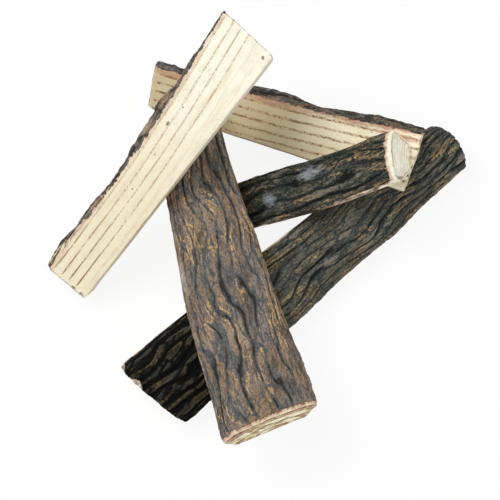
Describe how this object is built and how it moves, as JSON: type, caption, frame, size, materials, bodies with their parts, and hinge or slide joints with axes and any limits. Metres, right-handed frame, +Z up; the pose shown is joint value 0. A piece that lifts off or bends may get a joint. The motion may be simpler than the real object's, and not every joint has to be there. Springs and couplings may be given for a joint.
{
  "type": "ceramic log set",
  "caption": "Stack of moulded ceramic logs, bark-covered and split, that lean on each other like a campfire.",
  "frame": {"origin": "middle of the stack's plan, on the plane that it stands on", "axes": "+Z up; the pale top log's low end points to -X and -Y, the base log's free end to +X and +Y"},
  "size_m": [0.4778, 0.4562, 0.2312],
  "materials": {
    "dark_bark": "matt, moulded bark",
    "charred_bark": "matt, moulded bark, painted as charred",
    "brown_bark": "matt, moulded bark",
    "split_wood": "matt, moulded split face with painted grain",
    "rod_steel": "plain steel rod"
  },
  "bodies": {
    "base": {"base_log": "dark_bark", "base_log_rods": "rod_steel"},
    "back": {"back_log": "split_wood", "back_log_rods": "rod_steel"},
    "short": {"short_log": "charred_bark", "short_log_rods": "rod_steel"},
    "front": {"front_log": "brown_bark", "front_log_rods": "rod_steel"},
    "top": {"top_log": "split_wood", "top_log_rods": "rod_steel"}
  },
  "joints": [
    {"name": "back_lift", "type": "slide", "parent": "base", "child": "back", "axis": [0, 0, 1], "range_m": [0, 0.2]},
    {"name": "short_lift", "type": "slide", "parent": "back", "child": "short", "axis": [0, 0, 1], "range_m": [0, 0.2]},
    {"name": "front_lift", "type": "slide", "parent": "short", "child": "front", "axis": [0, 0, 1], "range_m": [0, 0.2]},
    {"name": "top_lift", "type": "slide", "parent": "front", "child": "top", "axis": [0, 0, 1], "range_m": [0, 0.2]}
  ]
}
